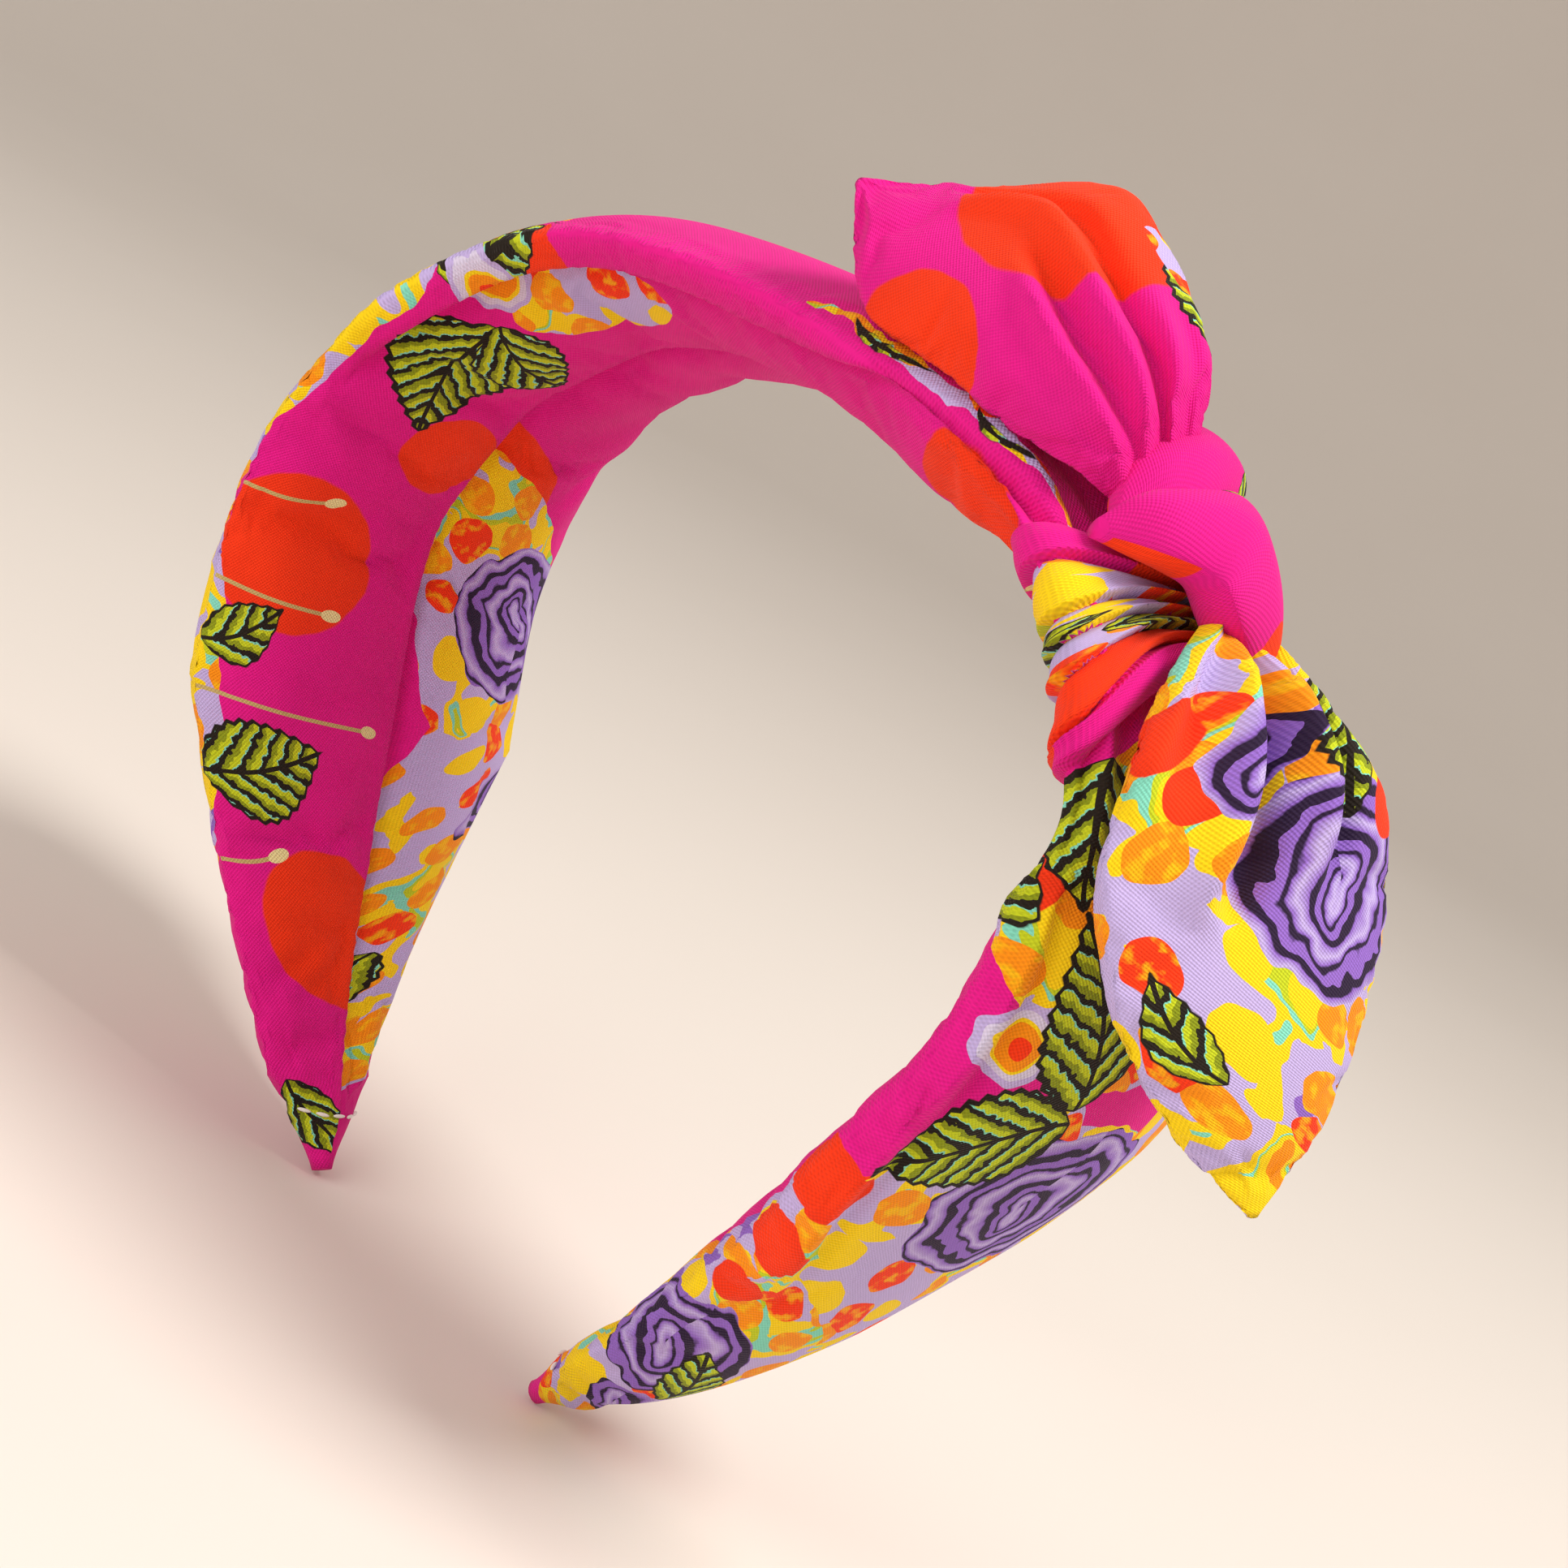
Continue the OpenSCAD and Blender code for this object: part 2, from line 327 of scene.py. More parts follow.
def disc_motif():
    """A flat round of red-orange dye, a little deeper where the brush turned."""
    t, given, result = motif_group("disc_motif", ["Radius"])
    wobble = add(
        t, "ShaderNodeTexNoise", {"Vector": given.outputs["Place"], "Scale": 0.18, "Detail": 1.0}
    )
    reach = add(t, VM, {0: given.outputs["Place"]}, out="Value", operation="LENGTH")
    reach = add(t, M, {0: wobble, 1: 1.6, 2: reach}, operation="MULTIPLY_ADD")
    share = add(t, M, {0: reach, 1: given.outputs["Radius"]}, operation="DIVIDE")
    mask = add(t, "ShaderNodeMapRange", {"Value": share, "From Min": 1.02, "From Max": 0.99})
    rim = add(
        t, "ShaderNodeMapRange", {"Value": share, "From Min": 0.5, "From Max": 1.0, "To Max": 0.55}
    )
    brush = add(
        t, "ShaderNodeTexNoise", {"Vector": given.outputs["Place"], "Scale": 0.35, "Detail": 4.0}
    )
    depth = add(t, M, {0: rim, 1: brush}, operation="MULTIPLY", use_clamp=True)
    colour = add(t, MIX, {0: depth, 6: RED_ORANGE, 7: DEEP_RED}, out=2, data_type="RGBA")
    t.links.new(mask, result.inputs["Mask"])
    t.links.new(colour, result.inputs["Color"])
    return t


def leaf_motif():
    """A toothed leaf that runs along its own X, dark with olive and lime between its veins."""
    t, given, result = motif_group("leaf_motif", ["Length", "Width"])
    xyz = add(t, "ShaderNodeSeparateXYZ", {0: given.outputs["Place"]}, out=None)
    x, y = xyz.outputs[0], xyz.outputs[1]
    along = add(t, M, {0: x, 1: given.outputs["Length"]}, operation="DIVIDE", use_clamp=True)
    belly = add(t, M, {0: along, 1: 0.75}, operation="POWER")
    belly = add(t, M, {0: belly, 1: math.pi}, operation="MULTIPLY")
    belly = add(t, M, {0: belly}, operation="SINE")
    bend = add(t, M, {0: belly, 1: 1.6, 2: y}, operation="MULTIPLY_ADD")  # the leaf curves a little
    off = add(t, M, {0: bend, 1: -0.8}, operation="ADD")
    off = add(t, M, {0: off}, operation="ABSOLUTE")
    tooth = add(t, M, {0: x, 1: 0.9}, operation="PINGPONG")
    edge = add(t, M, {0: belly, 1: given.outputs["Width"]}, operation="MULTIPLY")
    bite = add(t, M, {0: given.outputs["Width"], 1: 0.085}, operation="MULTIPLY")
    edge = add(t, M, {0: tooth, 1: bite, 2: edge}, operation="MULTIPLY_ADD")
    edge = add(t, M, {0: edge, 1: bite}, operation="SUBTRACT")
    inside = add(t, M, {0: edge, 1: off}, operation="SUBTRACT")
    mask = add(t, "ShaderNodeMapRange", {"Value": inside, "From Min": -0.05, "From Max": 0.1})
    jitter = add(
        t, "ShaderNodeTexNoise", {"Vector": given.outputs["Place"], "Scale": 0.75, "Detail": 3.0}
    )
    slant = add(t, M, {0: off, 1: -1.1, 2: x}, operation="MULTIPLY_ADD")
    slant = add(t, M, {0: jitter, 1: 2.6, 2: slant}, operation="MULTIPLY_ADD")
    stripe = add(t, M, {0: slant, 1: 3.1}, operation="DIVIDE")
    stripe = add(t, M, {0: stripe}, operation="FRACT")
    green = add(t, "ShaderNodeValToRGB", {0: stripe})
    ramp = green.node.color_ramp
    ramp.interpolation = "CONSTANT"
    ramp.elements[0].color = LEAF_DARK
    ramp.elements[1].position, ramp.elements[1].color = 0.26, OLIVE
    for at, dye in ((0.55, LIME), (0.86, MINT), (0.93, LEAF_DARK)):
        ramp.elements.new(at).color = dye
    outline = add(t, M, {0: inside, 1: bite}, operation="LESS_THAN")
    colour = add(t, MIX, {0: outline, 6: green, 7: LEAF_DARK}, out=2, data_type="RGBA")
    rib = add(t, M, {0: off, 1: 0.3}, operation="LESS_THAN")
    colour = add(t, MIX, {0: rib, 6: colour, 7: LEAF_DARK}, out=2, data_type="RGBA")
    t.links.new(mask, result.inputs["Mask"])
    t.links.new(colour, result.inputs["Color"])
    return t


def stem_motif():
    """A fine stem that runs along its own X and ends in a drop."""
    t, given, result = motif_group("stem_motif", ["Length"])
    xyz = add(t, "ShaderNodeSeparateXYZ", {0: given.outputs["Place"]}, out=None)
    x, y = xyz.outputs[0], xyz.outputs[1]
    along = add(t, M, {0: x, 1: given.outputs["Length"]}, operation="DIVIDE")
    bow = add(t, M, {0: along, 1: math.pi}, operation="MULTIPLY")
    bow = add(t, M, {0: bow}, operation="SINE")
    off = add(t, M, {0: bow, 1: 0.7, 2: y}, operation="MULTIPLY_ADD")
    off = add(t, M, {0: off}, operation="ABSOLUTE")
    line = add(t, M, {0: off, 1: 0.28}, operation="LESS_THAN")
    started = add(t, M, {0: x, 1: 0.0}, operation="GREATER_THAN")
    ended = add(t, M, {0: along, 1: 1.0}, operation="LESS_THAN")
    line = add(t, M, {0: line, 1: started}, operation="MULTIPLY")
    line = add(t, M, {0: line, 1: ended}, operation="MULTIPLY")
    past = add(t, M, {0: x, 1: given.outputs["Length"]}, operation="SUBTRACT")
    past = add(t, M, {0: past, 1: 0.55}, operation="MULTIPLY")
    drop = add(t, "ShaderNodeCombineXYZ", {0: past, 1: off})
    drop = add(t, VM, {0: drop}, out="Value", operation="LENGTH")
    drop = add(t, M, {0: drop, 1: 0.85}, operation="LESS_THAN")
    mask = add(t, M, {0: line, 1: drop}, operation="MAXIMUM")
    colour = add(t, MIX, {0: drop, 6: linear("#C9B070"), 7: CREAM}, out=2, data_type="RGBA")
    t.links.new(mask, result.inputs["Mask"])
    t.links.new(colour, result.inputs["Color"])
    return t


def rose_motif():
    """An open rose: petals of aubergine and lilac that wind round its middle."""
    t, given, result = motif_group("rose_motif", ["Radius"])
    warp = add(
        t,
        "ShaderNodeTexNoise",
        {"Vector": given.outputs["Place"], "Scale": 0.1, "Detail": 2.0},
        out=1,
    )
    warp = add(t, VM, {0: warp, 1: (0.5, 0.5, 0.5)}, operation="SUBTRACT")
    warped = add(
        t, VM, {0: warp, 1: (12.0, 8.0, 0.0), 2: given.outputs["Place"]}, operation="MULTIPLY_ADD"
    )
    reach = add(t, VM, {0: warped}, out="Value", operation="LENGTH")
    xyz = add(t, "ShaderNodeSeparateXYZ", {0: warped}, out=None)
    angle = add(t, M, {0: xyz.outputs[1], 1: xyz.outputs[0]}, operation="ARCTAN2")
    wind = add(t, M, {0: angle, 1: 0.318, 2: reach}, operation="MULTIPLY_ADD")
    wind = add(t, M, {0: reach, 1: 0.42, 2: wind}, operation="MULTIPLY_ADD")
    wind = add(t, M, {0: angle, 1: 0.16, 2: wind}, operation="MULTIPLY_ADD")
    wind = add(t, M, {0: wind, 1: 0.13}, operation="MULTIPLY")
    brush = add(
        t, "ShaderNodeTexNoise", {"Vector": given.outputs["Place"], "Scale": 0.22, "Detail": 3.0}
    )
    wind = add(t, M, {0: brush, 1: 0.5, 2: wind}, operation="MULTIPLY_ADD")
    wind = add(t, M, {0: wind}, operation="FRACT")
    petals = add(t, "ShaderNodeValToRGB", {0: wind})
    ramp = petals.node.color_ramp
    ramp.elements[0].color = AUBERGINE
    ramp.elements[1].position, ramp.elements[1].color = 0.2, AUBERGINE
    for at, dye in (
        (0.24, PURPLE), (0.5, LAVENDER), (0.66, PURPLE), (0.7, AUBERGINE), (0.77, AUBERGINE),
        (0.8, PURPLE), (0.97, PURPLE),
    ):
        ramp.elements.new(at).color = dye
    share = add(t, M, {0: reach, 1: given.outputs["Radius"]}, operation="DIVIDE")
    mask = add(t, M, {0: share, 1: 1.0}, operation="LESS_THAN")
    t.links.new(mask, result.inputs["Mask"])
    t.links.new(petals, result.inputs["Color"])
    return t


def bud_motif():
    """A small bud: a white round with an orange heart."""
    t, given, result = motif_group("bud_motif", ["Radius"])
    reach = add(t, VM, {0: given.outputs["Place"]}, out="Value", operation="LENGTH")
    wobble = add(
        t, "ShaderNodeTexNoise", {"Vector": given.outputs["Place"], "Scale": 0.4, "Detail": 0.0}
    )
    reach = add(t, M, {0: wobble, 1: 1.2, 2: reach}, operation="MULTIPLY_ADD")
    share = add(t, M, {0: reach, 1: given.outputs["Radius"]}, operation="DIVIDE")
    rings = add(t, "ShaderNodeValToRGB", {0: share})
    ramp = rings.node.color_ramp
    ramp.interpolation = "CONSTANT"
    ramp.elements[0].color = RED_ORANGE
    ramp.elements[1].position, ramp.elements[1].color = 0.35, ORANGE
    for at, dye in ((0.62, YELLOW), (0.7, PALE), (0.86, LAVENDER)):
        ramp.elements.new(at).color = dye
    mask = add(t, M, {0: share, 1: 1.0}, operation="LESS_THAN")
    t.links.new(mask, result.inputs["Mask"])
    t.links.new(rings, result.inputs["Color"])
    return t


def patch_motif():
    """A patch of dots in yellow, orange and red on lavender, with mint and yellow brush strokes
    winding through them. Its edge wanders."""
    t, given, result = motif_group("patch_motif", ["Length", "Width"])
    at = given.outputs["Place"]
    warp = add(t, "ShaderNodeTexNoise", {"Vector": at, "Scale": 0.12, "Detail": 2.0}, out=1)
    warp = add(t, VM, {0: warp, 1: (0.5, 0.5, 0.5)}, operation="SUBTRACT")
    loose = add(t, VM, {0: warp, 1: (9.0, 9.0, 0.0), 2: at}, operation="MULTIPLY_ADD")
    sizes = add(
        t, "ShaderNodeCombineXYZ", {0: given.outputs["Length"], 1: given.outputs["Width"], 2: 1.0}
    )
    nearly = add(t, VM, {0: warp, 1: (4.0, 4.0, 0.0), 2: at}, operation="MULTIPLY_ADD")
    edge = add(t, VM, {0: nearly, 1: sizes}, operation="DIVIDE")
    edge = add(t, VM, {0: edge}, out="Value", operation="LENGTH")
    mask = add(t, M, {0: edge, 1: 1.0}, operation="LESS_THAN")
    # broad strokes behind the dots
    stroke = add(
        t, "ShaderNodeTexNoise", {"Vector": loose, "Scale": 0.06, "Detail": 1.5, "Distortion": 1.2}
    )
    ground = add(t, "ShaderNodeValToRGB", {0: stroke})
    ramp = ground.node.color_ramp
    ramp.interpolation = "CONSTANT"
    ramp.elements[0].color = PURPLE
    ramp.elements[1].position, ramp.elements[1].color = 0.33, LAVENDER
    for spot, dye in ((0.5, YELLOW), (0.565, MINT), (0.59, LIME), (0.615, YELLOW), (0.72, ORANGE)):
        ramp.elements.new(spot).color = dye
    # dots about 5 mm across, 9 mm apart
    cells = add(
        t,
        "ShaderNodeTexVoronoi",
        {"Vector": nearly, "Scale": 0.115, "Randomness": 0.55},
        out=None,
        voronoi_dimensions="2D",
    )
    shade = add(t, "ShaderNodeSeparateXYZ", {0: cells.outputs["Color"]}, out=None)
    size = add(t, M, {0: shade.outputs[1], 1: 0.12, 2: 0.3}, operation="MULTIPLY_ADD")
    dot = add(t, M, {0: cells.outputs["Distance"], 1: size}, operation="LESS_THAN")
    dyes = add(t, "ShaderNodeValToRGB", {0: shade.outputs[0]})
    ramp = dyes.node.color_ramp
    ramp.interpolation = "CONSTANT"
    ramp.elements[0].color = ORANGE
    ramp.elements[1].position, ramp.elements[1].color = 0.55, YELLOW
    ramp.elements.new(0.72).color = RED_ORANGE
    shine = add(t, "ShaderNodeTexNoise", {"Vector": at, "Scale": 0.45, "Detail": 3.0})
    shine = add(
        t, "ShaderNodeMapRange", {"Value": shine, "From Min": 0.5, "From Max": 0.62, "To Max": 0.55}
    )
    dotted = add(t, MIX, {0: shine, 6: dyes, 7: YELLOW}, out=2, data_type="RGBA")
    colour = add(t, MIX, {0: dot, 6: ground, 7: dotted}, out=2, data_type="RGBA")
    t.links.new(mask, result.inputs["Mask"])
    t.links.new(colour, result.inputs["Color"])
    return t


MOTIFS = {
    "disc": disc_motif(),
    "leaf": leaf_motif(),
    "stem": stem_motif(),
    "rose": rose_motif(),
    "bud": bud_motif(),
    "patch": patch_motif(),
}


def printed_cotton(name, motifs, ground=HOT_PINK):
    """Plain-woven cotton with a reactive print, as dress and craft cottons have. It gives a matt
    surface, clear dyes, a faint fuzz that catches the light at the edges, and a fine even weave
    whose hollows are painted darker and crests painted lighter, as painted shade and light.
    Each motif is its kind, its place on the cloth in mm, its turn in degrees and its sizes in
    mm."""
    material = bpy.data.materials.new(name)
    material.use_nodes = True
    t = material.node_tree
    t.nodes.clear()
    uv = add(t, "ShaderNodeUVMap", uv_map="cloth")
    cloth = add(t, VM, {0: uv, "Scale": float(UV_MM)}, operation="SCALE")  # mm on the cloth
    soak = add(t, "ShaderNodeTexNoise", {"Vector": cloth, "Scale": 0.08, "Detail": 3.0})
    soak = add(
        t, "ShaderNodeMapRange", {"Value": soak, "From Min": 0.35, "From Max": 0.75, "To Max": 0.3}
    )
    deep = tuple(c * 0.7 for c in ground[:3]) + (1,)
    colour = add(t, MIX, {0: soak, 6: ground, 7: deep}, out=2, data_type="RGBA")
    for kind, u, v, turn, *sizes in motifs:
        here = add(
            t, "ShaderNodeMapping",
            {"Vector": cloth, "Location": (u, v, 0), "Rotation": (0, 0, math.radians(turn))},
            vector_type="TEXTURE",
        )
        motif = add(t, "ShaderNodeGroup", out=None, node_tree=MOTIFS[kind])
        t.links.new(here, motif.inputs["Place"])
        for k, size in enumerate(sizes):
            motif.inputs[k + 1].default_value = size
        colour = add(
            t, MIX, {0: motif.outputs["Mask"], 6: colour, 7: motif.outputs["Color"]},
            out=2, data_type="RGBA",
        )
    # Threads: 0.3 mm apart on the real cloth, drawn 0.5 mm apart so that they show. Their colour
    # carries painted shade in the weave's hollows and painted light on its crests.
    threads = add(t, VM, {0: cloth, "Scale": 2 * math.pi / THREAD_PITCH}, operation="SCALE")
    threads = add(t, "ShaderNodeSeparateXYZ", {0: threads}, out=None)
    warp = add(t, M, {0: threads.outputs[0]}, operation="SINE")
    weft = add(t, M, {0: threads.outputs[1]}, operation="SINE")
    weave = add(t, M, {0: warp, 1: weft}, operation="MULTIPLY")
    slub = add(t, "ShaderNodeMapping", {"Vector": cloth, "Scale": (0.5, 5.0, 1.0)})
    slub = add(t, "ShaderNodeTexNoise", {"Vector": slub, "Scale": 1.0, "Detail": 2.0})
    height = add(t, M, {0: slub, 1: 0.8, 2: weave}, operation="MULTIPLY_ADD")
    # painted shade and light: weave hollows darker, crests lighter; the slub adds the yarn's own
    # tone
    shade = add(
        t,
        "ShaderNodeMapRange",
        {"Value": height, "From Min": -1.0, "From Max": 1.6, "To Min": 0.78, "To Max": 1.08},
    )
    colour = add(t, VM, {0: colour, "Scale": shade}, operation="SCALE")
    bumped = add(t, "ShaderNodeBump", {"Height": height, "Strength": 0.6, "Distance": 0.00012})
    surface = add(
        t, "ShaderNodeBsdfPrincipled",
        {"Base Color": colour, "Normal": bumped, "Roughness": 0.82, "Specular IOR Level": 0.25,
         "Sheen Weight": 0.05, "Sheen Roughness": 0.4},
    )
    add(t, "ShaderNodeOutputMaterial", {"Surface": surface}, out=None)
    return material


def plain_material(name, colour, dark, roughness, scale, strength, distance, sheen=0.0):
    """A finish of two close shades with a fine relief, on the piece's own place in space."""
    material = bpy.data.materials.new(name)
    material.use_nodes = True
    t = material.node_tree
    t.nodes.clear()
    place_in_space = add(t, "ShaderNodeTexCoord", out="Object")
    grain = add(t, "ShaderNodeTexNoise", {"Vector": place_in_space, "Scale": scale, "Detail": 6.0})
    tone = add(t, MIX, {0: grain, 6: linear(colour), 7: linear(dark)}, out=2, data_type="RGBA")
    rough = add(
        t,
        "ShaderNodeMapRange",
        {"Value": grain, "To Min": roughness - 0.06, "To Max": roughness + 0.06},
    )
    bumped = add(t, "ShaderNodeBump", {"Height": grain, "Strength": strength, "Distance": distance})
    surface = add(
        t, "ShaderNodeBsdfPrincipled",
        {"Base Color": tone, "Normal": bumped, "Roughness": rough, "Sheen Weight": sheen},
    )
    add(t, "ShaderNodeOutputMaterial", {"Surface": surface}, out=None)
    return material


# Spun polyester thread: white, softly shining, with a fine twist.
spun_thread = plain_material(
    "spun_polyester_thread", "#F6F2EC", "#D9D2CA", 0.55, 2500, 0.4, 0.0001, 0.2
)
# Moulded ABS arch: grey, with the fine eggshell texture of the mould.
moulded_abs = plain_material("moulded_abs", "#56575B", "#4A4B4F", 0.45, 1800, 0.2, 0.00005)

# ---- Covers ----


def pleats(s, turn):
    """Gathers that run out from under the wrap and die away along the tube."""
    away = np.where(s < WRAP_START, WRAP_START - s, np.where(s > WRAP_END, s - WRAP_END, 0))
    ridges = 1 - np.abs(np.sin(4.5 * turn + 0.5 * np.sin(2 * turn + s / 17)))
    finer = 1 - np.abs(np.sin(7.5 * turn + 1.1))
    gathered = 1.7 * ridges * np.exp(-away / 16) + finer * np.exp(-away / 8)
    return gathered - 0.6 * np.exp(-away / 16)


def cover_rings(first, last, sides=132):
    """A cover's rings from one distance to another, and each point's place on the cloth."""
    count = int(abs(last - first) / RING_PITCH)
    s = np.linspace(first, last, count)[:, None]
    turn = np.linspace(0, 2 * math.pi, sides, endpoint=False)[None, :]
    s, turn = np.broadcast_arrays(s, turn)
    welt = ease((s + 84) / 16) * ease((46 - s) / 10)
    front = np.clip(np.sin(turn), 0, 1)
    y, n = section(s, turn, 0.2 + 0.75 * welt * front**2)
    round_it = arc_lengths(y, n, sides // 4)
    v = round_it[:, :-1]
    inner, back = np.cos(turn) > 0, np.sin(turn) < 0
    out = pleats(s, turn)
    # soft swells of the wadding, and the wrinkles that a bent tube throws on its inner side
    full = fullness(s)
    out = out + full * 0.5 * np.sin(s / 11 + 1.4 * np.sin(turn + 0.6)) * np.abs(np.cos(turn))
    bent = bump(np.abs(s), 72, 34) * np.clip(np.cos(turn), 0, 1)
    out = out - bent * 0.9 * np.abs(np.sin(s / 8.5 + 1.2 * np.sin(2.2 * turn) + 0.4)) ** 3
    # over the crown the outer face lies over the front edge in a crisp lip
    line = mix(-3.6, 1.5, ease((s + 10) / 40))
    out = out + welt * (2.0 * lip(v, line, 9) - 1.0 * bump(v, line - 1.4, 1.2))
    # the cloth hangs fuller beside the knot, at the front on the head's side
    out = out + 2.4 * bump(s, 26, 15) * np.where(inner & ~back, np.abs(np.sin(2 * turn)), 0)
    # a fold laid over along the front edge of the right leg
    laid = ease((s - 78) / 10) * ease((150 - s) / 18)
    at = mix(2.0, 7.0, ease((s - 110) / 36))
    out = out + laid * (2.3 * lip(v, at, -7) - 1.0 * bump(v, at + 1.6, 1.2))
    a, b = outwards(s, turn)
    y, n = y + a * out, n + b * out
    # the left leg spreads towards its back edge
    y = y * np.where(back, 1 + 0.12 * bump(s, -132, 36), 1)
    # the seam: the back panel starts a step below the front one, whose edge stands over it
    near = np.abs(y)
    step = np.where(inner & back, 1.7 * np.exp(-near / 5), -0.35 * bump(near, 0, 2.5) * inner)
    n = n + step * full
    rings = place(s, y, n)
    printed = np.stack([np.repeat(s[:, :1], sides + 1, 1), round_it], -1)
    held = np.clip(squeezed(s) * 1.2, 0, 1)
    held = np.maximum(held, 1 - ease(full / 0.12))
    held = np.maximum(held, 0.9 * (inner & (near < 1.6)))
    held = np.maximum(held, 0.5 * bump(v, 0, 2))
    held = np.maximum(held, 0.9 * welt * bump(v, line, 3))
    return rings, printed, np.append(held.ravel(), [1, 1])


LEFT_PRINT = [
    ("disc", -107, -10, 0, 12.5), ("disc", -158, -15, 0, 11.5), ("disc", -84, -24, 0, 8),
    ("disc", -46, -3, 0, 6.5), ("disc", 33, -8, 0, 10), ("disc", -84, 86, 0, 10),
    ("patch", -136, 62, 29, 62, 19), ("patch", -127, 9, 0, 27, 12), ("patch", -76, 8, 0, 32, 9.6),
    ("patch", 12, -27, 0, 30, 3.4), ("patch", -42, -11, 0, 15, 6), ("patch", 14, 40, 0, 40, 14),
    ("rose", -107, 74, 0, 13), ("rose", -134, 58, 0, 7), ("rose", 10, 38, 0, 11),
    ("disc", -20, 30, 0, 12), ("leaf", -139, 1, -75, 19, 7), ("leaf", -122, 0, -60, 12, 4.5),
    ("leaf", -60, -10, 196, 24, 9), ("leaf", -60, -10, 258, 17, 7), ("leaf", -179, -1, 205, 12, 5),
    ("leaf", -160, 52, 190, 17, 7), ("leaf", -60, 0, 3, 19, 4.5), ("bud", -55, -4, 0, 5.5),
    ("patch", 24, 2.6, 3, 22, 1.1), ("leaf", 8, 1.8, 3, 14, 0.8), ("leaf", 28, 3, 3, 10, 0.7),
    ("stem", -100, 0, -80, 13), ("stem", -113, 0, -96, 17), ("stem", -128, 0, -93, 26),
    ("stem", -150, 0, -82, 8), ("leaf", -30, 34, 30, 20, 8), ("leaf", -100, 26, 120, 20, 8),
    ("disc", -128, 38, 0, 11),
]
RIGHT_PRINT = [
    ("patch", 82, 18, 0, 18, 22), ("patch", 142, 27, 0, 38, 31), ("patch", 128, 16, 0, 26, 14),
    ("patch", 164, 6, 0, 26, 17), ("patch", 112, 48, 0, 26, 16), ("disc", 123, 1, 0, 5),
    ("disc", 134, 2, 0, 4.5), ("disc", 144, 3, 0, 4), ("disc", 82, -3, 0, 6),
    ("disc", 92, -9, 0, 5), ("rose", 118, 27, 0, 14), ("rose", 160, 4, 0, 10),
    ("rose", 80, 26, 0, 9), ("rose", 176, 8, 0, 5), ("bud", 99, 5, 0, 5),
    ("leaf", 103, 18, 212, 23, 8), ("leaf", 104, 18, -48, 22, 7.5), ("leaf", 69, 2, 8, 16, 6.5),
    ("leaf", 88, -5, 150, 9, 4), ("leaf", 171, 13, 196, 16, 5), ("disc", 180, 16, 0, 7),
]


def cover(name, first, last, motifs, nodes):
    """A sewn cover from the distance first to the distance last, which takes the place of some
    nodes."""
    rings, printed, held = cover_rings(first, last)
    piece = fabric(name, rings, printed, printed_cotton("printed_cotton_" + name, motifs))
    settle(piece, held, 2.5, 0.03, 1.8)
    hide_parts(*nodes)
    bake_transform(piece)
    return piece


cover_left = cover(
    "cover_left", -TIP_S, SPLIT_S + 1, LEFT_PRINT,
    ("cover_crown", "cover_left_leg", "wadding_crown", "wadding_left_leg"),
)
cover_right = cover(
    "cover_right", SPLIT_S - 1, TIP_S, RIGHT_PRINT,
    ("cover_right_leg", "wadding_right_leg"),
)

# ---- Wrap ----

# Where each pleat starts, as a share of the way across the wrap: at the front edge, and at the knot
EDGE_PLEATS = [0, 0.22, 0.45, 0.54, 0.67, 0.9, 1.0]
KNOT_PLEATS = [0, 0.16, 0.32, 0.43, 0.54, 0.64, 1.0]


def wrap_rings(count=190, sides=150):
    """The tie's pleats round the tube. They fan out from the knot, and each lies over the next,
    but for the last, whose fold lies over the one before it."""
    t = np.linspace(0, 1, count)[:, None]
    turn = np.linspace(0, 2 * math.pi, sides, endpoint=False)[None, :]
    t, turn = np.broadcast_arrays(t, turn)
    knot = bump(turn, math.radians(165), math.radians(55))
    s = mix(WRAP_START - 2.2 + 9 * knot, WRAP_END + 1.5 - 12.5 * knot, t)
    starts = [
        mix(a, b, knot) + 0.012 * np.sin(3 * turn + 5 * a) * np.sin(math.pi * a)
        for a, b in zip(EDGE_PLEATS, KNOT_PLEATS)
    ]
    index = np.zeros_like(t)
    share = np.zeros_like(t)
    for k in range(6):
        inside = (t >= starts[k]) & ((t < starts[k + 1]) | (k == 5))
        index = np.where(inside, k, index)
        share = np.where(inside, (t - starts[k]) / (starts[k + 1] - starts[k]), share)
    share = np.clip(share, 0, 1)
    over = (0.25 + 0.75 * share**0.6) * (1 - 0.85 * ease((share - 0.88) / 0.12))
    under = (1 - 0.45 * share) * ease(share / 0.14 + 0.15)
    rise = np.where(index == 5, under, over)
    height = WRAP_GAP + 0.2 + (2.3 + 0.9 * knot) * rise
    height = height + 0.35 * rise * np.sin(9 * share + 2.0 * turn + index) * (0.4 + knot)
    rolled = ease(t / 0.05) * ease((1 - t) / 0.05)
    height = mix(-1.3, height, rolled)
    y, n = section(s, turn)
    a, b = outwards(s, turn)
    rings = place(s, y + a * height, n + b * height)
    round_it = arc_lengths(y, n, sides // 4)
    u = index * PLEAT_STEP + share * PLEAT_CLOTH
    u = np.concatenate([u, u[:, :1]], 1)
    return rings, np.stack([u, round_it], -1)


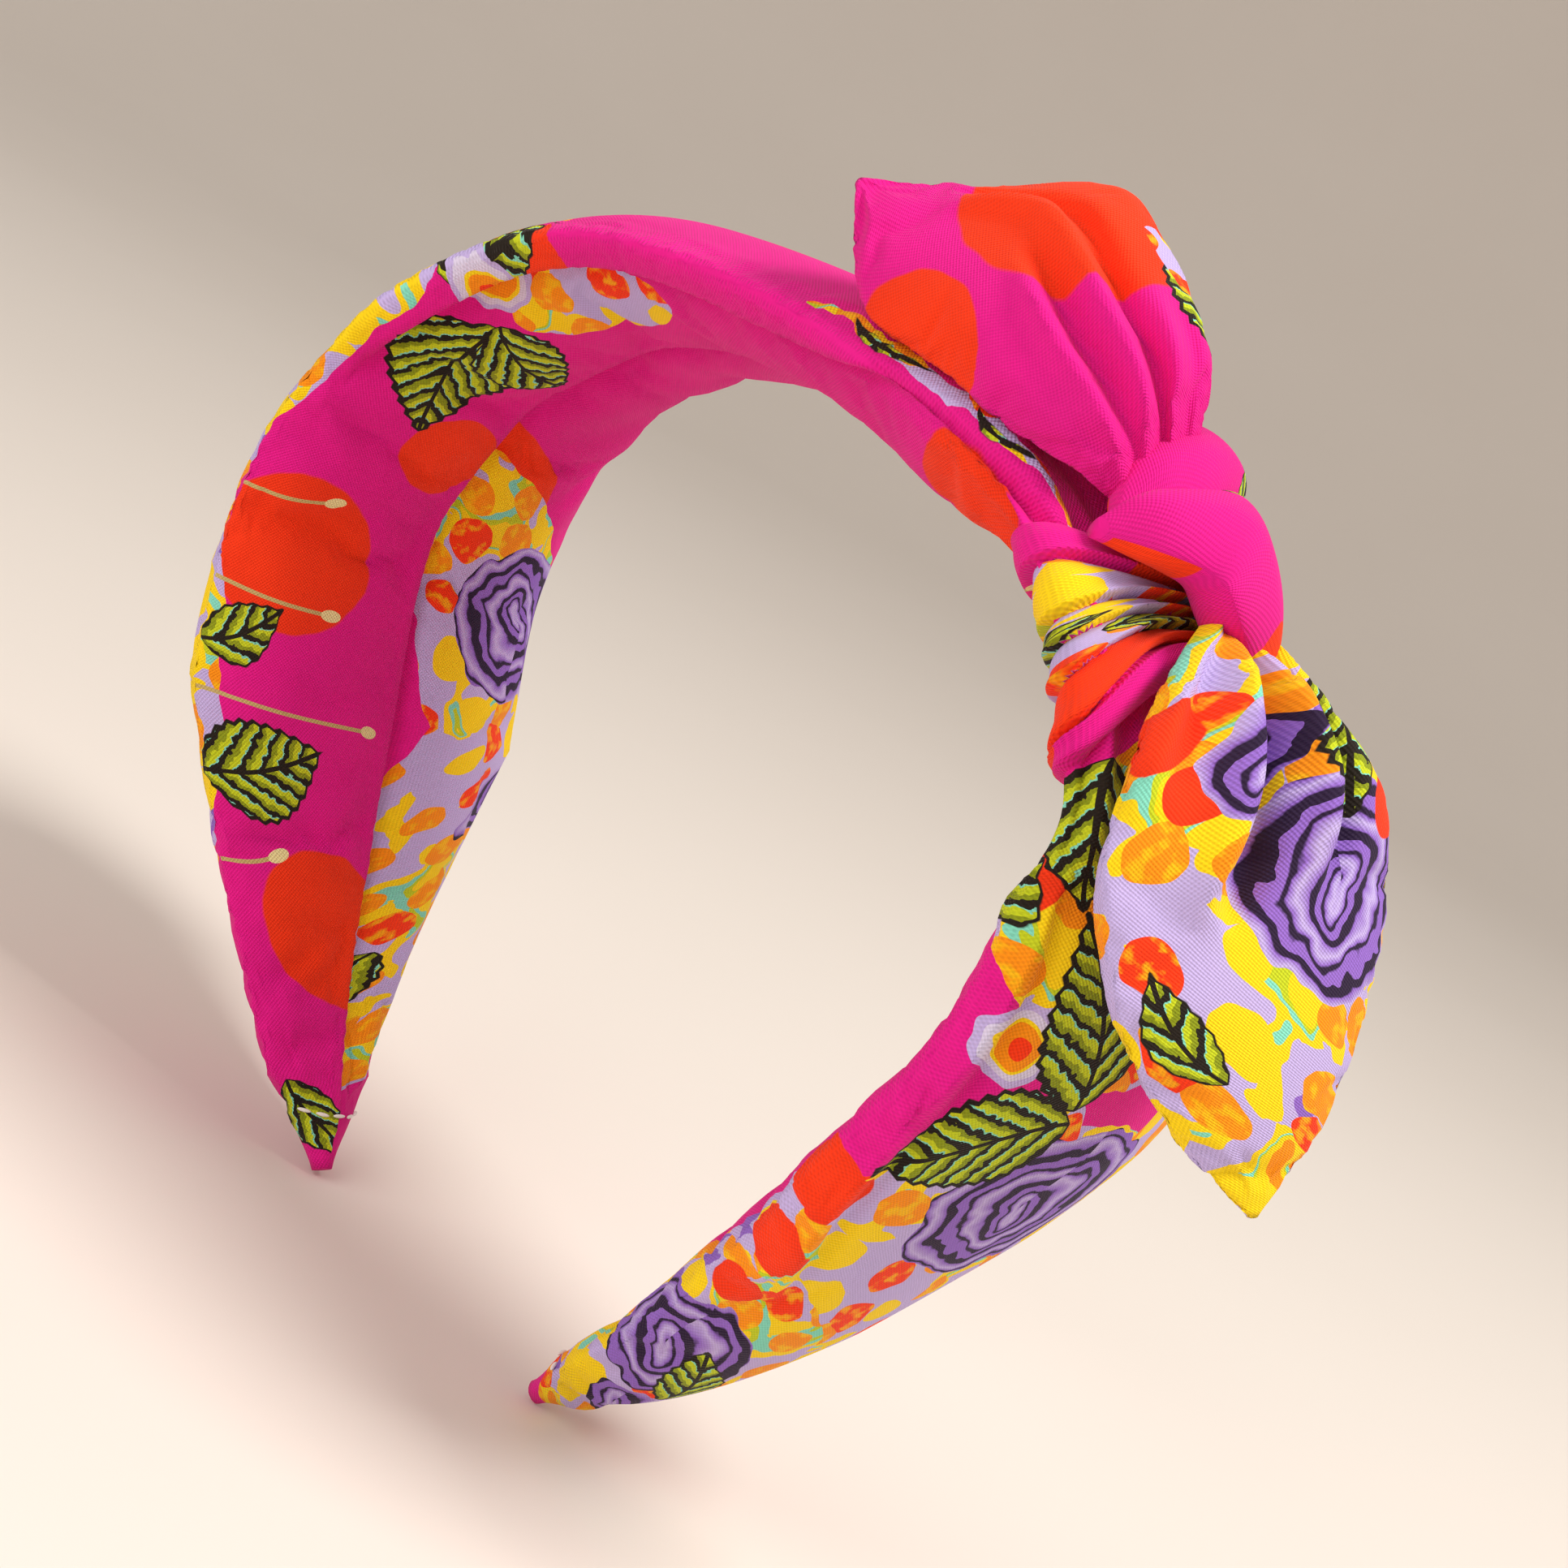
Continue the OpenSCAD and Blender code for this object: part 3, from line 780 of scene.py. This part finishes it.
WRAP_PRINT = [
    ("disc", 7, 14, 0, 7), ("stem", 1, -8, 20, 9), ("patch", 34, 8, 0, 12, 46),
    ("patch", 64, 10, 0, 8, 40), ("leaf", 62, 10, 84, 20, 5), ("leaf", 66, -14, 88, 18, 5),
    ("patch", 94, -4, 0, 10, 16), ("leaf", 93, 2, 86, 28, 6), ("disc", 124, 10, 0, 17),
    ("disc", 152, 20, 0, 7), ("disc", 152, -4, 0, 4),
]
rings, printed = wrap_rings()
knot_wrap = fabric("wrap", rings, printed, printed_cotton("printed_cotton_wrap", WRAP_PRINT))
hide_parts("knot_wrap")
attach(knot_wrap, "crown")

# ---- Half knot ----


def through(rows, count):
    """A smooth run of rows through the given ones, evenly spread over their numbers."""
    rows = np.array(rows, float)
    ends = np.vstack([2 * rows[0] - rows[1], rows, 2 * rows[-1] - rows[-2]])
    at = np.linspace(0, len(rows) - 1, count)
    k = np.minimum(at.astype(int), len(rows) - 2)
    f = (at - k)[:, None]
    a, b, c, d = ends[k], ends[k + 1], ends[k + 2], ends[k + 3]
    return 0.5 * (
        2 * b + (c - a) * f + (2 * a - 5 * b + 4 * c - d) * f**2 + (3 * b - a - 3 * c + d) * f**3
    )


# Each row: middle s, y, n, then half width along, half width across, half thickness
TUCK_ROWS = [
    (46.5, -19.5, 9, 1.2, 0, 0.8), (44, -16, 12.5, 4, -0.6, 2.6), (42, -9.5, 14.6, 6, -3, 3.4),
    (40.5, -2, 14.6, 6, -3.5, 3.4), (40, 4, 12.6, 4.6, -3, 2.8), (40.5, 8, 9.2, 2, -1.5, 0.9),
]
STRAP_ROWS = [
    (46.6, -20.6, 6.8, 1, 0, 0.8), (48.2, -18.8, 11.6, 3, 0, 2.2), (49, -14.5, 14.6, 4.4, -2, 3),
    (49.8, -10, 16, 5.4, -5.5, 3.2), (52.2, -6.8, 15.4, 5, -6, 3.2),
    (55.7, -3.5, 13.8, 3.4, -4.6, 2.8), (58.8, 0, 11.2, 1.9, -2.4, 1.9),
    (61, 1.5, 8.6, 0.6, -1, 0.7),
]


def pillow(name, rows, motifs, folds, deep, rings=56, sides=56):
    """A folded length of the tie, laid in band coordinates. folds are lengthwise creases."""
    rows = through(rows, rings)[:, :, None]
    turn = np.linspace(0, 2 * math.pi, sides, endpoint=False)[None, :]
    along = np.linspace(0, 1, rings)[:, None]
    lens = np.sin(turn) * np.abs(np.sin(turn)) ** 0.15
    crease = deep * (0.35 - np.abs(np.sin(folds * turn + 2 * along))) * np.sin(math.pi * along)
    below = np.where(np.sin(turn) < 0, 2.3, 1.0)  # the underside beds down on the wrap
    thick = rows[:, 5] * lens * below + crease * np.sign(np.sin(turn)) * np.abs(np.sin(turn)) ** 0.7
    s = rows[:, 0] + rows[:, 3] * np.cos(turn)
    y = rows[:, 1] + rows[:, 4] * np.cos(turn)
    points = place(s, y, rows[:, 2] + thick)
    wide = np.hypot(rows[:, 3], rows[:, 4])
    v = arc_lengths(wide * np.cos(turn), rows[:, 5] * lens, sides // 2)
    length = np.linalg.norm(np.diff(points.mean(1), axis=0), axis=1)
    u = np.concatenate([[0], np.cumsum(length)])[:, None] * np.ones((1, sides + 1))
    piece = fabric(
        name, points, np.stack([u, v], -1), printed_cotton("printed_cotton_" + name, motifs)
    )
    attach(piece, "crown")
    return piece


tuck = pillow(
    "tuck",
    TUCK_ROWS,
    [("disc", 3, 6, 0, 5), ("leaf", 20, -16, 60, 9, 3), ("rose", 24, -7, 0, 3.5)],
    folds=1.5, deep=0.8,
)
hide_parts("knot_tuck")
strap = pillow(
    "strap",
    STRAP_ROWS,
    [("disc", 6, 7, 0, 7), ("disc", 29, -9, 0, 5), ("leaf", 9, -1, 4, 13, 1.6)],
    folds=1.5, deep=0.8,
)
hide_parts("knot_strap")

# ---- Ears ----

# Each row: middle in the part's frame, share of the half width, half thickness
UPPER_ROWS = [
    (47, -10, 66.5, 0.3, 2), (46, -12.5, 71.5, 0.46, 3.2), (42.5, -15, 76, 0.68, 4.6),
    (33, -16, 79.5, 0.93, 5.6), (24, -16, 82.5, 1.04, 6), (19, -16.4, 83, 1.05, 5.4),
    (11, -18.5, 81.4, 0.84, 4.4), (5, -21.6, 81.8, 0.48, 2.8), (-0.5, -24.5, 83.5, 0.05, 0.5),
]
LOWER_ROWS = [
    (61, -7.4, 60.6, 0.24, 1), (63.8, -8.4, 58.6, 0.4, 2.2), (69, -10.4, 54.2, 0.64, 3.8),
    (75, -11, 47.5, 0.9, 4.8), (80, -10.5, 38, 1.02, 5.2), (86, -9, 27, 0.88, 4.6),
    (91.5, -6.5, 17.5, 0.54, 3), (96, -4, 9.5, 0.04, 0.5),
]


def ear(name, node, rows, wide, thick, half, motifs, folds, rings=90, sides=96):
    """One end of the tie, sewn to a point, with lengthwise folds that run into the knot. Each fold
    is its face (1 is the outer one), its place across at the root and at its end as shares of the
    half width, the distance where it ends, its depth and its width."""
    rows = through(rows, rings)
    middle, share, depth = rows[:, None, :3], rows[:, None, 3], rows[:, None, 4]
    wide, thick = (np.array(v) / np.linalg.norm(v) for v in (wide, thick))
    turn = np.linspace(0, 2 * math.pi, sides, endpoint=False)[None, :]
    step = np.linalg.norm(np.diff(rows[:, :3], axis=0), axis=1)
    u = np.concatenate([[0], np.cumsum(step)])[:, None]
    across = half * share * np.cos(turn)
    face = np.sin(turn) * np.abs(np.sin(turn)) ** 0.1
    out = depth * face
    for side, near, far, ends, deep, width in folds:
        path = mix(near, far, u / ends) * half
        ridge = bump(across, path * share, width)
        valley = bump(across, path * share - 1.8 * width, width)
        crease = deep * side * (ridge - 0.8 * valley) * ease((ends - u) / 12)
        out = out - crease * (np.sign(face) == side) * np.abs(face)
    gathers = 0.8 * (1 - np.abs(np.sin(5 * turn))) * np.exp(-u / 9)
    out = out + gathers * face
    points = middle + across[..., None] * wide + out[..., None] * thick
    v = arc_lengths(across, depth * face, sides // 2)
    printed = np.stack([np.repeat(u, sides + 1, 1), v], -1)
    piece = fabric(name, points, printed, printed_cotton("printed_cotton_" + name, motifs))
    held = np.clip(1.3 - u / 8, 0, 1) * np.ones_like(turn)
    held = np.maximum(held, 0.8 * (np.abs(np.sin(turn)) < 0.05))
    settle(piece, np.append(held.ravel(), [1, 1]), 1.6, 0.04, 1.6)
    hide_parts(node)
    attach(piece, node)
    return piece


ear(
    "ear_standing", "upper_ear", UPPER_ROWS, (0, 0.56, 0.83), (0.14, -0.82, 0.55), 15,
    [("disc", 35, -28, 0, 16), ("disc", 37, 0, 0, 10), ("leaf", 6, -26, -16, 22, 7),
     ("disc", 30, 30, 0, 12), ("patch", 14, -30, 0, 14, 4)],
    [
        (1, 0.1, 0.55, 52, 3.2, 1.6), (1, -0.45, 0.0, 36, 2.8, 1.5), (1, 0.6, 0.75, 24, 2, 1.3),
        (-1, 0.2, -0.3, 34, 2, 1.4),
    ],
)
ear(
    "ear_hanging", "lower_ear", LOWER_ROWS, (0.31, 0.9, 0.31), (0.78, -0.43, 0.46), 18,
    [("patch", 34, -8, 0, 60, 60), ("rose", 30, -27, 0, 12), ("leaf", 5, -20, -26, 20, 7),
     ("disc", 15, -3, 0, 5), ("disc", 21, -8, 0, 4), ("rose", 17, -13, 0, 6),
     ("disc", 21, -34, 0, 4.5), ("leaf", 50, -8, 160, 12, 4)],
    [
        (1, 0.15, -0.35, 38, 5.2, 2.2), (1, 0.75, 0.3, 34, 3.8, 1.8), (1, -0.5, -0.8, 26, 3, 1.6),
        (-1, 0.1, 0.3, 34, 2, 1.5),
    ],
)

# ---- Stitches ----


def stitch_row_tree():
    """Geometry nodes that lay short rounded stitches along a row of points."""
    t = bpy.data.node_groups.new("stitch_row", "GeometryNodeTree")
    t.interface.new_socket("Geometry", in_out="INPUT", socket_type="NodeSocketGeometry")
    for name, value in (
        ("Pitch", 0.0028), ("Stitch Length", 0.0021), ("Thread Radius", 0.0003), ("Sway", 0.08)
    ):
        size = t.interface.new_socket(name, in_out="INPUT", socket_type="NodeSocketFloat")
        size.default_value = value
    t.interface.new_socket("Seed", in_out="INPUT", socket_type="NodeSocketInt").default_value = 7
    t.interface.new_socket("Thread", in_out="INPUT", socket_type="NodeSocketMaterial")
    t.interface.new_socket("Geometry", in_out="OUTPUT", socket_type="NodeSocketGeometry")
    given = add(t, "NodeGroupInput", out=None).outputs
    row = add(t, "GeometryNodeMeshToCurve", {"Mesh": given["Geometry"]})
    row = add(
        t, "GeometryNodeResampleCurve", {"Curve": row, "Length": given["Pitch"]}, mode="LENGTH"
    )
    points = add(t, "GeometryNodeCurveToPoints", {"Curve": row}, out=None, mode="EVALUATED")
    sway = add(
        t, "FunctionNodeRandomValue",
        {"Seed": given["Seed"], "Min": (-1, -1, -1), "Max": (1, 1, 1)},
        data_type="FLOAT_VECTOR",
    )
    sway = add(t, VM, {0: sway, "Scale": given["Sway"]}, operation="SCALE")
    turned = add(
        t, "FunctionNodeAlignRotationToVector", {"Vector": points.outputs["Tangent"]}, axis="Z"
    )
    sway = add(t, "FunctionNodeEulerToRotation", {0: sway})
    turned = add(t, "FunctionNodeRotateRotation", {0: turned, 1: sway})
    stitch = add(t, "GeometryNodeMeshUVSphere", {"Segments": 8, "Rings": 6, "Radius": 1.0})
    stitch = add(t, "GeometryNodeSetShadeSmooth", {0: stitch})
    half = add(t, M, {0: given["Stitch Length"], 1: 0.5}, operation="MULTIPLY")
    size = add(
        t, "ShaderNodeCombineXYZ", {0: given["Thread Radius"], 1: given["Thread Radius"], 2: half}
    )
    laid = add(
        t, "GeometryNodeInstanceOnPoints",
        {"Points": points.outputs["Points"], "Instance": stitch, "Rotation": turned, "Scale": size},
    )
    laid = add(t, "GeometryNodeRealizeInstances", {0: laid})
    laid = add(t, "GeometryNodeSetMaterial", {"Geometry": laid, "Material": given["Thread"]})
    out = add(t, "NodeGroupOutput", out=None)
    t.links.new(laid, out.inputs[0])
    return t


STITCH_TREE = stitch_row_tree()


def stitches(name, path, **sizes):
    """A row of stitches along a path of points, in metres, as a plain mesh."""
    mesh = bpy.data.meshes.new(name + "_row")
    mesh.from_pydata([tuple(p) for p in path], [(k, k + 1) for k in range(len(path) - 1)], [])
    row = bpy.data.objects.new(name + "_row", mesh)
    scene.collection.objects.link(row)
    modifier = row.modifiers.new("stitch_row", "NODES")
    modifier.node_group = STITCH_TREE
    sockets = {
        s.name: s.identifier for s in STITCH_TREE.interface.items_tree if s.in_out == "INPUT"
    }
    for size, value in {"Thread": spun_thread, **sizes}.items():
        modifier[sockets[size]] = value
    seen = row.evaluated_get(bpy.context.evaluated_depsgraph_get())
    made = bpy.data.meshes.new_from_object(seen)
    bpy.data.objects.remove(row)
    piece = bpy.data.objects.new(name, made)
    scene.collection.objects.link(piece)
    return piece


def on_cloth(piece, points, lift):
    """The points brought down on to a piece's cloth, then lifted off it, in metres."""
    laid = []
    for p in points:
        _, at, normal, _ = piece.closest_point_on_mesh(Vector(p))
        laid.append(at + normal * lift)
    return laid


# Top stitching across each tip, on the head's side
for name, cloth, side, body in (
    ("tip_stitches_left", cover_left, -1, "left_leg"),
    ("tip_stitches_right", cover_right, 1, "right_leg"),
):
    s = side * (TIP_S - STITCH_INSET)
    path = [place(s, y, -float(half_t(s))) * MM for y in np.linspace(-6.5, 6.5, 14)]
    piece = stitches(
        name,
        on_cloth(cloth, path, STITCH_LIFT),
        **{"Pitch": 0.0026, "Stitch Length": 0.002, "Thread Radius": 0.00028},
    )
    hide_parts("left_tip_stitches" if side < 0 else "right_tip_stitches")
    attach(piece, body)

# Tacking that holds the wrap, on the head's side
path = [place(56.5, y, -9.5) * MM for y in np.linspace(-8, 8, 12)]
piece = stitches(
    "tack_stitches",
    on_cloth(knot_wrap, path, STITCH_LIFT),
    **{"Pitch": 0.0034, "Stitch Length": 0.0022, "Thread Radius": 0.0003},
)
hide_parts("knot_tack_stitches")
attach(piece, "crown")

# ---- CAD nodes that stay ----

for node in ("core_crown", "core_left_leg", "core_right_leg"):
    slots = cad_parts[node].data.materials
    slots.clear()
    slots.append(moulded_abs)

# ---- Floor and light ----

lowest = min(coordinates(p.data)[:, 2].min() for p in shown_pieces())
# a wide floor that curves up into its own backdrop all round
profile = [(0.02, 0), (FLOOR_REACH, 0)] + [
    (FLOOR_REACH + FLOOR_CURVE * math.sin(a), FLOOR_CURVE - FLOOR_CURVE * math.cos(a))
    for a in np.linspace(0.1, 1.5, 16)
]
round_the_floor = np.linspace(0, 2 * math.pi, FLOOR_SIDES, endpoint=False)
corners = [
    (r * math.cos(a), r * math.sin(a), z + lowest - 0.0002)
    for r, z in profile for a in round_the_floor
]
faces = [tuple(range(FLOOR_SIDES - 1, -1, -1))]
for k in range(len(profile) - 1):
    near, far = FLOOR_SIDES * k, FLOOR_SIDES * (k + 1)
    for a in range(FLOOR_SIDES):
        b = (a + 1) % FLOOR_SIDES
        faces.append((near + a, near + b, far + b, far + a))
mesh = bpy.data.meshes.new("floor")
mesh.from_pydata(corners, [], faces)
mesh.flip_normals()
mesh.polygons.foreach_set("use_smooth", [True] * len(mesh.polygons))
floor = bpy.data.objects.new("floor", mesh)
scene.collection.objects.link(floor)
mesh.materials.append(plain_material("limewashed_board", "#E9E0D7", "#E2D8CE", 0.8, 3, 0.05, 0.001))
floor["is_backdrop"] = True


def area_light(name, where, towards, size, watts, colour):
    light = bpy.data.lights.new(name, "AREA")
    light.shape, light.size, light.energy, light.color = "DISK", size, watts, colour
    lamp = bpy.data.objects.new(name, light)
    lamp.location = where
    lamp.rotation_euler = (Vector(towards) - Vector(where)).to_track_quat("-Z", "Y").to_euler()
    scene.collection.objects.link(lamp)


area_light("window", (0.5, 0.05, 0.78), (0, 0, 0), 0.35, 7.5, (1, 0.985, 0.96))
area_light("room", (-0.1, -0.9, 0.4), (0, 0, 0), 0.9, 4.5, (1, 1, 1))

world = bpy.data.worlds.new("pale_room")
scene.world = world
world.use_nodes = True
world.node_tree.nodes.clear()
sky = add(world.node_tree, "ShaderNodeBackground", {"Color": linear("#F4EEE8"), "Strength": 0.62})
add(world.node_tree, "ShaderNodeOutputWorld", {"Surface": sky}, out=None)
scene.view_settings.view_transform = "Standard"
